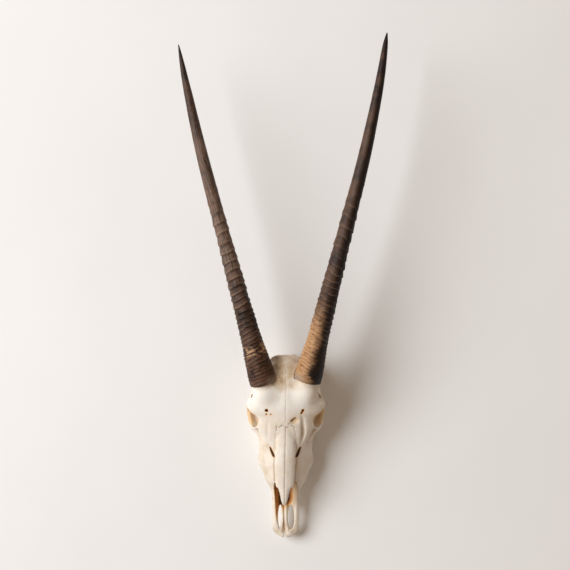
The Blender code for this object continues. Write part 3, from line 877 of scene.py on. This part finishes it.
# %% Build both sheaths
def make_horn(side):
    """A sheath: point = axis(s) + r(s, angle) * (cos inner + sin top), relief added to r."""
    toward_middle = 1 if side == "right" else -1
    path, length = horn_axis(side)
    s, plain, rim = sheath_rows(side, length)
    angle = np.linspace(0, 2 * math.pi, SIDES, endpoint=False)[None, :]
    round_place = np.stack(np.broadcast_arrays(plain * np.cos(angle), plain * np.sin(angle), s),
                           axis=-1)
    relief, ring = ring_relief(side, length, s, plain, angle, round_place)
    outside = (np.arange(len(s)) >= rim)[:, None]
    radius = np.where(outside, np.maximum(plain + relief, LEAST_RADIUS), plain)
    radius[rim:rim + len(LIP_ROUNDING)] -= np.array(LIP_ROUNDING)[:, None]
    ragged = 0.9 * cloud(round_place[rim:rim + 1], (7, 7, 7), SEEDS[side] + 5)
    settle_in = smooth_step(-s[rim:], -10, 0) * ragged
    along = s + np.concatenate([np.zeros((rim, SIDES)), np.maximum(settle_in, 0)])
    axis, inner, top = horn_frame(path, length, along, toward_middle)
    swing = np.cos(angle)[..., None] * inner + np.sin(angle)[..., None] * top
    points = (axis + radius[..., None] * swing).reshape(-1, 3)

    hollow_pole = path[int((HOLLOW_END + POLE_DEPTH) / length * (len(path) - 1))]
    ends = np.array([hollow_pole, path[-1]])
    rows, count = len(s), len(points)
    quads, fans = skin_grid(rows, SIDES, count, count + 1)
    if toward_middle > 0:
        quads, fans = quads[:, ::-1], fans[:, ::-1]
    piece = add_mesh(f"{side}_horn", np.vstack([points, ends]), [quads, fans])

    def stored(name, values):
        """Stores a mask for every point of the grid and the two poles."""
        values = np.broadcast_to(values, (rows, SIDES)).ravel()
        set_mask(piece, name, np.append(values, [values[0], values[-1]]))

    stored("ring", np.where(outside, ring, 0))
    stored("along", s / length)
    stored("inner", np.cos(angle) * np.ones_like(s))
    stored("lip", outside * smooth_step(-s, -20, -4))
    stored("mouth", ~outside * 1.0)
    flow = np.append(round_place.reshape(-1, 3), round_place.reshape(-1, 3)[[0, -1]], axis=0)
    layer = piece.data.attributes.new("flow", "FLOAT_VECTOR", "POINT")
    layer.data.foreach_set("vector", flow.astype(np.float32).ravel())
    print(side, "horn:", round(length), "mm long,", len(piece.data.polygons), "faces")
    return piece


right_horn = make_horn("right")
left_horn = make_horn("left")

# %% [markdown]
# ## Grinding teeth
# An antelope's upper cheek teeth are tall prisms, worn flat. Folds of hard enamel stand out
# on the worn face as crescents round dark pits. Each tooth is one closed surface: rings of
# the worn face from its centre, then the side up to the root. Front teeth have one crescent
# and the last three have two, so the same function makes all twelve from their boxes.

# %% Teeth
TOOTH_SIDES, FACE_RINGS, WALL_ROWS = 72, 26, 22
CROWN_EDGE = 0.9
SQUARENESS = 3.4
PIT_DEPTH, ENAMEL_RISE = 2.6, 0.55


def worn_face(ring, outline, across, along, cheek, lobes):
    """The worn face over rings of the outline: x, y, z and the masks of pit and enamel.

    Each lobe has a crescent pit, where a parabola across the lobe is near zero. The face looks
    down, so enamel, which stands out, lowers z on both sides of the pit and round the edge. A
    shallow trough runs inside the edge.
    """
    face_x, face_y = ring * outline * across, ring * outline * along
    lobe_y = (face_y * 2 - np.sign(face_y)) if lobes == 2 else face_y * 1.1
    bend = face_x * cheek + 0.35 * lobe_y**2 - 0.22
    pit = np.exp(-((bend / 0.16) ** 2)) * smooth_step(-abs(lobe_y), -0.8, -0.45)
    edge = ring * np.ones_like(outline)
    enamel = np.exp(-(((abs(bend) - 0.24) / 0.07) ** 2)) * smooth_step(-abs(lobe_y), -0.9, -0.6)
    enamel = np.maximum(enamel, np.exp(-(((edge - 0.93) / 0.05) ** 2)))
    face_z = CROWN_EDGE - ENAMEL_RISE * enamel + PIT_DEPTH * pit
    face_z = face_z + 0.4 * np.exp(-((edge - 0.75) / 0.12) ** 2)
    face_z = face_z + CROWN_EDGE * smooth_step(edge, 0.97, 1)
    return face_x, face_y, face_z, pit, enamel


def make_tooth(node):
    """A worn crown: a rounded square of radius r(angle), lobed sides, and z = relief(x, y)."""
    low, high = (np.array(corner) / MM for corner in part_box(node))
    middle, reach = (low + high) / 2, (high - low) / 2
    lobes = 2 if node.startswith("molar") else 1
    cheek = np.sign(middle[0] - MIDLINE)
    angle = np.linspace(0, 2 * math.pi, TOOTH_SIDES, endpoint=False)
    unit = abs(np.cos(angle)) ** SQUARENESS + abs(np.sin(angle)) ** SQUARENESS
    unit = unit ** (-1 / SQUARENESS)
    across, along = unit * np.cos(angle), unit * np.sin(angle)
    fold = (0.5 + 0.5 * np.cos(2 * math.pi * along)) * (lobes == 2)
    tongue = smooth_step(-across * cheek, 0.2, 0.9)
    ribs = smooth_step(across * cheek, 0.2, 0.9) * (0.5 + 0.5 * np.cos(3 * math.pi * along))
    outline = 1 - 0.16 * tongue * fold - 0.06 * tongue - 0.05 * ribs
    ring = np.linspace(0.04, 1, FACE_RINGS)[:, None]
    face_x, face_y, face_z, pit, enamel = worn_face(ring, outline, across, along, cheek, lobes)
    rise = np.linspace(0.06, 1, WALL_ROWS)[:, None]
    taper = 1 - 0.10 * rise * tongue - 0.03 * rise
    wall_x, wall_y = taper * outline * across, taper * outline * along
    height = high[2] - low[2]
    wall_z = 2 * CROWN_EDGE + rise * (height - 3 * CROWN_EDGE)
    grid_x = np.concatenate([face_x, wall_x]) * reach[0] + middle[0]
    grid_y = np.concatenate([face_y, wall_y]) * reach[1] + middle[1]
    grid_z = np.concatenate([face_z, wall_z * np.ones_like(outline)])
    grid_z -= grid_z.min()
    points = np.stack([grid_x, grid_y, grid_z + low[2]], axis=-1)
    shift = 0.18 * cloud(points, 3, 71) * smooth_step(points[..., 2], 1, 4)
    points[..., 0] += shift
    flat = points.reshape(-1, 3)
    centre = np.array([[middle[0], middle[1], points[0, :, 2].mean()],
                       [middle[0], middle[1], high[2]]])
    quads, fans = skin_grid(FACE_RINGS + WALL_ROWS, TOOTH_SIDES, len(flat), len(flat) + 1)
    piece = add_mesh(node + "_crown", np.vstack([flat, centre]), [quads, fans])
    pits = np.concatenate([pit, np.zeros_like(wall_x)]).ravel()
    hard = np.concatenate([enamel, np.ones_like(wall_x) * 0.8]).ravel()
    folds = np.concatenate([0 * pit, (tongue * fold + 0.5 * (1 - ribs) * (across * cheek > 0.3))
                            * np.ones_like(wall_x)]).ravel()
    set_mask(piece, "pit", np.append(pits, [pits[0], 0]))
    set_mask(piece, "enamel", np.append(hard, [hard[0], 0]))
    set_mask(piece, "fold", np.append(folds, [0, 0]))
    return piece


teeth = {name: make_tooth(name) for name in TEETH}
print(len(teeth), "teeth of", len(next(iter(teeth.values())).data.polygons), "faces each")

# %% [markdown]
# ## Shared effects for the finishes
# All the finishes need uneven colour, and bone and teeth a fine grain in the light. These are
# shader node groups with named inputs, built once and placed in a material with its own values.
# They give out only masks and heights. The shader itself stays in each material.

# %% Small helpers for node trees
def linear(red, green, blue):
    """A screen colour of 0 to 255 a channel as the linear values a shader takes."""
    share = np.array((red, green, blue)) / 255
    value = np.where(share <= 0.04045, share / 12.92, ((share + 0.055) / 1.055) ** 2.4)
    return (*value.tolist(), 1.0)


def place(tree, kind, inputs=(), **settings):
    """Adds a node, sets its properties, and sets or links its inputs by name or number."""
    node = tree.nodes.new(kind)
    for name, value in settings.items():
        setattr(node, name, value)
    for key, value in dict(inputs).items():
        if isinstance(value, bpy.types.NodeSocket):
            tree.links.new(value, node.inputs[key])
        else:
            node.inputs[key].default_value = value
    return node


def noise(tree, vector, scale, detail=3.0, rough=0.55):
    """Noise from 0 to 1 with `scale` patches to the vector's unit."""
    inputs = {"Vector": vector, "Scale": scale, "Detail": detail, "Roughness": rough}
    return place(tree, "ShaderNodeTexNoise", inputs).outputs["Fac"]


def stretched(tree, vector, scale):
    """The vector scaled by a different amount along each axis."""
    return place(tree, "ShaderNodeMapping", {"Vector": vector, "Scale": scale}).outputs[0]


def between(tree, value, low, high, start=0.0, end=1.0):
    """The value's way from low to high, eased, as a number from start to end."""
    inputs = {"Value": value, "From Min": low, "From Max": high, "To Min": start, "To Max": end}
    node = place(tree, "ShaderNodeMapRange", inputs, interpolation_type="SMOOTHSTEP")
    return node.outputs["Result"]


def math_node(tree, operation, a, b):
    """One step of arithmetic on two sockets or numbers."""
    return place(tree, "ShaderNodeMath", {0: a, 1: b}, operation=operation).outputs[0]


def times(tree, *factors):
    """The product of two or more masks or numbers."""
    product = factors[0]
    for factor in factors[1:]:
        product = math_node(tree, "MULTIPLY", product, factor)
    return product


def mixed(tree, mask, a, b):
    """Colour a where the mask is 0 and colour b where it is 1."""
    node = place(tree, "ShaderNodeMix", {0: mask, 6: a, 7: b}, data_type="RGBA")
    return node.outputs[2]


def laid(tree, colour, paint, mask, low=0.0, high=1.0, start=0.0, end=1.0):
    """Paint laid over a colour, from start to end thick, as the mask goes from low to high."""
    return mixed(tree, between(tree, mask, low, high, start, end), colour, paint)


def mask_of(tree, name):
    """A mask that the shape left on the mesh."""
    return place(tree, "ShaderNodeAttribute", attribute_name=name).outputs["Fac"]


def new_group(name, inputs, outputs):
    """A node group with its named sockets, and its two end nodes."""
    group = bpy.data.node_groups.new(name, "ShaderNodeTree")
    for kind, label, value in inputs:
        socket = group.interface.new_socket(label, in_out="INPUT", socket_type=kind)
        if value is not None:
            socket.default_value = value
    for label in outputs:
        group.interface.new_socket(label, in_out="OUTPUT", socket_type="NodeSocketFloat")
    return group, group.nodes.new("NodeGroupInput"), group.nodes.new("NodeGroupOutput")


# %% Node groups: mottling and grain
VECTOR, FLOAT = "NodeSocketVector", "NodeSocketFloat"
mottling, given, result = new_group(
    "mottling", [(VECTOR, "Place", None), (FLOAT, "Patches per metre", 40.0)], ["Patches", "Flecks"]
)
size = given.outputs["Patches per metre"]
broad = noise(mottling, given.outputs["Place"], size, 4.0, 0.6)
fleck_size = times(mottling, size, 9.0)
flecks = noise(mottling, given.outputs["Place"], fleck_size, 2.0, 0.5)
mottling.links.new(between(mottling, broad, 0.36, 0.64), result.inputs["Patches"])
mottling.links.new(between(mottling, flecks, 0.60, 0.74), result.inputs["Flecks"])

grain, given, result = new_group(
    "grain", [(VECTOR, "Place", None), (FLOAT, "Lines per metre", 900.0)], ["Height", "Pores"]
)
size = given.outputs["Lines per metre"]
fine = noise(grain, given.outputs["Place"], size, 5.0, 0.6)
pore_inputs = {"Vector": given.outputs["Place"], "Scale": times(grain, size, 0.4)}
pores = place(grain, "ShaderNodeTexVoronoi", pore_inputs).outputs["Distance"]
grain.links.new(fine, result.inputs["Height"])
grain.links.new(between(grain, pores, 0.22, 0.08), result.inputs["Pores"])


def effect(tree, group, vector, amount):
    """Places a shared group and sets its vector and its one number."""
    node = tree.nodes.new("ShaderNodeGroup")
    node.node_tree = group
    tree.links.new(vector, node.inputs[0])
    node.inputs[1].default_value = amount
    return node.outputs


def new_material(name):
    """A material with its tree, its Principled shader and the object's own coordinates."""
    material = bpy.data.materials.new(name)
    material.use_nodes = True
    tree = material.node_tree
    shader = tree.nodes["Principled BSDF"]
    coordinates = place(tree, "ShaderNodeTexCoord").outputs["Object"]
    return material, tree, shader, coordinates


def connect(tree, shader, colour, rough, height, strength, deep):
    """Links colour, roughness and relief that is up to `deep` metres deep to the shader."""
    inputs = {"Strength": strength, "Distance": deep, "Height": height}
    normal = place(tree, "ShaderNodeBump", inputs).outputs[0]
    for name, socket in (("Base Color", colour), ("Roughness", rough), ("Normal", normal)):
        tree.links.new(socket, shader.inputs[name])


# %% [markdown]
# ## Bone
# Dry bone is matt and warm white, creamier in patches and faint lengthwise streaks. It is tan on
# the braincase, and the face's flank that faces the light is browned as painted shade. Sutures hold
# a little dirt. Cavities turn golden and then brown the deeper they go, partly the bone's yellowing
# and partly painted shade, and concave places take a tan that is partly grime and partly painted
# shade. The brow is whitened, partly by bleaching and partly as painted light, and fine pores show in
# patches.

# %% Bone material
WHITE, IVORY, CREAM, TAN, UMBER = (linear(*c) for c in (
    (252, 246, 238), (244, 235, 223), (234, 218, 198), (203, 180, 150), (158, 128, 94)))
GOLD, OCHRE, DEEP = (linear(*c) for c in ((232, 200, 154), (192, 116, 40), (58, 36, 18)))


def make_bone():
    """Dry bone: ivory and cream, then stains, painted shade and painted light laid over, each by its
    own mask.
    """
    material, tree, shader, where = new_material("dry_bone")
    patches = effect(tree, mottling, where, 26.0)["Patches"]
    fine_patches = effect(tree, mottling, where, 90.0)["Patches"]
    streak = noise(tree, stretched(tree, where, (1, 0.1, 1)), 260.0, 4.0)
    broken = between(tree, fine_patches, 0.0, 1.0, 0.75, 1.1)
    stain_and_shade = times(tree, mask_of(tree, "stain_and_shade"), broken)
    cavity, suture = mask_of(tree, "cavity"), mask_of(tree, "suture")
    colour = mixed(tree, times(tree, patches, 0.6), IVORY, CREAM)
    # Among these layers, the stain-and-shade mask, crease, hollow and the deeper cavity colours carry
    # painted shade, and the white brow layer carries painted light.
    for paint, *layer in (
        (CREAM, streak, 0.5, 0.72, 0.0, 0.35),
        (WHITE, mask_of(tree, "bleached_and_lit"), 0.0, 1.0, 0.0, 0.8),
        (TAN, stain_and_shade, 0.0, 0.6),
        (UMBER, stain_and_shade, 0.55, 1.1),
        (TAN, mask_of(tree, "crease"), 0.02, 0.3, 0.0, 0.55),
        (GOLD, mask_of(tree, "hollow"), 0.04, 0.3, 0.0, 0.5),
        (GOLD, cavity, 0.1, 0.4),
        (OCHRE, cavity, 0.36, 0.64),
        (DEEP, cavity, 0.6, 0.86),
        (UMBER, suture, 0.15, 0.95, 0.0, 0.8),
    ):
        colour = laid(tree, colour, paint, *layer)
    grains = effect(tree, grain, where, 700.0)
    speck = times(tree, grains["Pores"], between(tree, patches, 0.4, 1, 0, 0.4))
    colour = mixed(tree, speck, colour, UMBER)
    rough = between(tree, patches, 0.0, 1.0, 0.52, 0.68)
    height = math_node(tree, "ADD", times(tree, grains["Height"], 0.5), times(tree, streak, 0.6))
    height = math_node(tree, "SUBTRACT", height, times(tree, speck, 1.2))
    height = math_node(tree, "SUBTRACT", height, times(tree, suture, 0.6))
    connect(tree, shader, colour, rough, height, 0.35, 0.0008)
    shader.inputs["Subsurface Weight"].default_value = 0.12
    shader.inputs["Subsurface Radius"].default_value = (1.0, 0.6, 0.35)
    shader.inputs["Subsurface Scale"].default_value = 0.003
    shader.inputs["Specular IOR Level"].default_value = 0.35
    return material


bone = make_bone()
skull_bone.data.materials.append(bone)

# %% [markdown]
# ## Horn
# The sheath is keratin: dark brown, lengthwise fibres, half-matt. Crests of the rings are
# lighter, partly rubbed and partly a painted highlight, and the steps below them carry painted
# shadow. The right horn is dark with a few worn pale scars near its foot, and greyer further up.
# The left horn is bleached orange-brown on the inner side of its foot, and its outer side, away
# from the light, is darkened as painted shade. Both are smoother towards the tip, which is almost
# black.

# %% Horn material
DARK, BROWN, RUST, ASH = (linear(*c) for c in (
    (26, 14, 8), (84, 58, 43), (106, 66, 44), (140, 114, 99)))
CREST, AMBER, SAND, FRAYED = (linear(*c) for c in (
    (168, 142, 120), (174, 126, 84), (202, 158, 114), (158, 143, 130)))


def amber_wear(tree, colour, along, inner, hoops, patches, reach):
    """Bleached on the inner side up to `reach`, sandy along the hoops, dark outside the foot."""
    ragged = math_node(tree, "ADD", inner, between(tree, patches, 0, 1, -0.3, 0.3))
    bleach = times(tree, between(tree, ragged, -0.75, 0.3), between(tree, along, reach, reach * 0.45),
                   between(tree, hoops, 0.3, 0.5, 0.7, 1.0))
    colour = mixed(tree, bleach, colour, AMBER)
    sandy = times(tree, bleach, between(tree, hoops, 0.4, 0.6, 0.0, 0.9))
    colour = mixed(tree, sandy, colour, SAND)
    outside = times(tree, between(tree, along, 0.08, 0.04), between(tree, ragged, -0.05, -0.4, 0, 0.9))
    return mixed(tree, outside, colour, DARK)


def scar_wear(tree, colour, along, hoops, patches, reach):
    """Pale scars in a narrow band round `reach`, where both the patches and hoops allow."""
    band = times(tree, between(tree, along, reach - 0.02, reach - 0.008),
                 between(tree, along, reach + 0.022, reach + 0.01))
    worn = times(tree, patches, between(tree, hoops, 0.4, 0.56))
    scar = times(tree, band, between(tree, worn, 0.2, 0.5, 0.0, 0.65))
    return mixed(tree, scar, colour, SAND)


def make_keratin(name, amber_reach, scar_reach, ashen, outer_painted_shade, crest_rub_and_highlight, seed_shift):
    """Ringed horn: dark and brown patches, then wear, painted shade on the outer side, and painted
    highlights and shadows at the rings laid over them.

    amber_reach and scar_reach are shares of the horn's length, where 0 means none: the amber
    ends at the one, and the scars lie round the other. The rest are strengths from 0 to 1,
    and seed_shift moves the pattern, so that the two horns differ.
    """
    material, tree, shader, _ = new_material(name)
    flow = place(tree, "ShaderNodeAttribute", attribute_name="flow").outputs["Vector"]
    flow = place(tree, "ShaderNodeMapping", {"Vector": flow, "Scale": (MM,) * 3,
                                             "Location": (seed_shift, 0, 0)}).outputs[0]
    along, inner = mask_of(tree, "along"), mask_of(tree, "inner")
    ring = mask_of(tree, "ring")
    fibre = noise(tree, stretched(tree, flow, (1, 1, 0.05)), 700.0, 4.0, 0.6)
    hoops = noise(tree, stretched(tree, flow, (0.2, 0.2, 1)), 420.0, 4.0, 0.6)
    patches = effect(tree, mottling, flow, 34.0)["Patches"]
    colour = mixed(tree, patches, DARK, BROWN)
    rust = times(tree, between(tree, hoops, 0.42, 0.6), between(tree, along, 0.22, 0.05, 0.1, 0.75))
    colour = mixed(tree, rust, colour, RUST)
    upper = times(tree, between(tree, along, 0.2, 0.42), between(tree, along, 0.84, 0.66, 0.15, 1.0))
    ash = times(tree, upper, between(tree, fibre, 0.38, 0.62, 0.1, ashen))
    colour = mixed(tree, ash, colour, ASH)
    if amber_reach:
        colour = amber_wear(tree, colour, along, inner, hoops, patches, amber_reach)
    if scar_reach:
        colour = scar_wear(tree, colour, along, hoops, patches, scar_reach)
    # Painted shade: the outer side, away from the light, is darkened.
    colour = laid(tree, colour, DARK, inner, 0.35, -0.6, 0.0, outer_painted_shade)
    # Ring crests are lightened, partly as rubbing and partly as a painted highlight.
    crest = times(tree, between(tree, ring, 0.8, 1.0),
                  between(tree, along, 0.12, 0.36, 0.34, crest_rub_and_highlight),
                  between(tree, patches, 0, 0.8, 0.15, 1))
    colour = mixed(tree, crest, colour, CREST)
    # Painted shadow at the foot of each ring's step, weaker on the inner side of the amber-worn horn,
    # which faces the light.
    groove = times(tree, between(tree, ring, 0.22, 0.02), between(tree, along, 0.6, 0.3, 0.2, 0.75))
    if amber_reach:
        groove = times(tree, groove, between(tree, inner, -0.2, 0.5, 1.0, 0.5))
    groove = times(tree, groove, between(tree, patches, 0, 1, 1, 0.6))
    colour = mixed(tree, groove, colour, DARK)
    colour = laid(tree, colour, DARK, along, 0.9, 0.99, 0.0, 0.85)
    frayed = times(tree, mask_of(tree, "lip"), between(tree, inner, 0.1, 0.8, 0.05, 0.75))
    colour = mixed(tree, frayed, colour, FRAYED)
    colour = mixed(tree, mask_of(tree, "mouth"), colour, AMBER)
    rough = between(tree, fibre, 0.3, 0.7, 0.42, 0.66)
    hoop_height = times(tree, hoops, between(tree, along, 0.62, 0.45, 0.0, 1.6))
    height = math_node(tree, "ADD", times(tree, fibre, 0.8), hoop_height)
    connect(tree, shader, colour, rough, height, 0.5, 0.0012)
    shader.inputs["Specular IOR Level"].default_value = 0.28
    return material


dark_keratin = make_keratin("dark_keratin", amber_reach=0, scar_reach=0.105, ashen=0.9,
                            outer_painted_shade=0.0, crest_rub_and_highlight=0.42, seed_shift=0.0)
bleached_keratin = make_keratin("bleached_keratin", amber_reach=0.25, scar_reach=0, ashen=0.12,
                                outer_painted_shade=0.92, crest_rub_and_highlight=0.14, seed_shift=0.37)
right_horn.data.materials.append(dark_keratin)
left_horn.data.materials.append(bleached_keratin)

# %% [markdown]
# ## Teeth
# Enamel is smooth and glossier than bone. The softer dentine between its ridges is worn and
# brown, the pits are almost black, and the folds up the sides keep old plant stain.

# %% Tooth material
ENAMEL, DENTINE, PLANT_STAIN = (linear(*c) for c in ((232, 224, 206), (186, 150, 104), (70, 48, 30)))


def make_enamel():
    """Enamel over dentine by the enamel mask, then plant stain in the folds and pits."""
    material, tree, shader, where = new_material("worn_enamel")
    patches = effect(tree, mottling, where, 160.0)["Patches"]
    lines = effect(tree, grain, stretched(tree, where, (1, 1, 0.15)), 900.0)["Height"]
    colour = laid(tree, DENTINE, ENAMEL, mask_of(tree, "enamel"), 0.15, 0.7)
    colour = mixed(tree, times(tree, patches, 0.35), colour, DENTINE)
    colour = laid(tree, colour, PLANT_STAIN, mask_of(tree, "fold"), 0.25, 0.95, 0.0, 0.7)
    colour = laid(tree, colour, PLANT_STAIN, mask_of(tree, "pit"), 0.2, 0.8)
    connect(tree, shader, colour, between(tree, lines, 0.3, 0.7, 0.28, 0.5), lines, 0.3, 0.0006)
    return material


enamel_finish = make_enamel()
for tooth in teeth.values():
    tooth.data.materials.append(enamel_finish)
print("materials:", [material.name for material in bpy.data.materials if material.users])

# %% [markdown]
# ## Tie the pieces to the frame
# Each finished piece stands for its solid, which is hidden, and rides on the one body.

# %% Ride and replace
for piece, node, slot in [
    (skull_bone, "skull", "bone"),
    (right_horn, "right_horn_sheath", "dark_horn"),
    (left_horn, "left_horn_sheath", "dark_horn"),
    *[(tooth, name, "tooth") for name, tooth in teeth.items()],
]:
    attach(piece, "root")
    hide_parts(node)

# %% [markdown]
# ## Floor, light and camera
# The skull lies on a plain pale floor and is seen from straight above. One large soft light
# stands to the upper left, so the right side falls into shade, and a dim warm world fills it.

# %% Stage
FLOOR_SIDE, FLOOR_GAP = 12.0, 0.0005
bpy.ops.mesh.primitive_plane_add(size=FLOOR_SIDE, location=(0, 0, -FLOOR_GAP))
floor = bpy.context.object
floor.name = "pale_floor"
floor_finish, tree, shader, where = new_material("matt_plaster")
tint = effect(tree, mottling, where, 1.5)
tree.links.new(mixed(tree, tint["Patches"], linear(249, 248, 247), linear(246, 245, 244)),
               shader.inputs["Base Color"])
shader.inputs["Roughness"].default_value = 0.9
shader.inputs["Specular IOR Level"].default_value = 0.1
floor.data.materials.append(floor_finish)

# %% Light
WORLD_COLOUR, WORLD_STRENGTH = (1.0, 0.79, 0.61, 1), 0.27
KEY_SIZE, KEY_POWER, KEY_COLOUR = 4.4, 405, (0.95, 0.98, 1.0)
KEY_PLACE = Vector((-4.4, 1.05, 4.3))
world = bpy.data.worlds.new("soft_room")
world.use_nodes = True
background = world.node_tree.nodes["Background"]
background.inputs["Color"].default_value = WORLD_COLOUR
background.inputs["Strength"].default_value = WORLD_STRENGTH
bpy.context.scene.world = world
key = bpy.data.lights.new("key_light", "AREA")
key.shape = "DISK"
key.size = KEY_SIZE
key.energy = KEY_POWER
key.color = KEY_COLOUR
key_light = bpy.data.objects.new("key_light", key)
key_light.location = KEY_PLACE
key_light.rotation_euler = (-KEY_PLACE).to_track_quat("-Z", "Y").to_euler()
bpy.context.collection.objects.link(key_light)

# %% Camera
CAMERA_HEIGHT = 3.2
FIELD_OF_VIEW = 21.48
AIM_X, AIM_Y = 0.0045, 0.0116
middle = [(a + b) / 2 for a, b in zip(cad_low, cad_high)]
camera = bpy.data.objects.new("camera", bpy.data.cameras.new("camera"))
camera.data.angle = math.radians(FIELD_OF_VIEW)
camera.data.clip_end = 30
camera.location = (middle[0] + AIM_X, middle[1] + AIM_Y, CAMERA_HEIGHT)
bpy.context.collection.objects.link(camera)
bpy.context.scene.camera = camera
bpy.context.scene.view_settings.view_transform = "Standard"
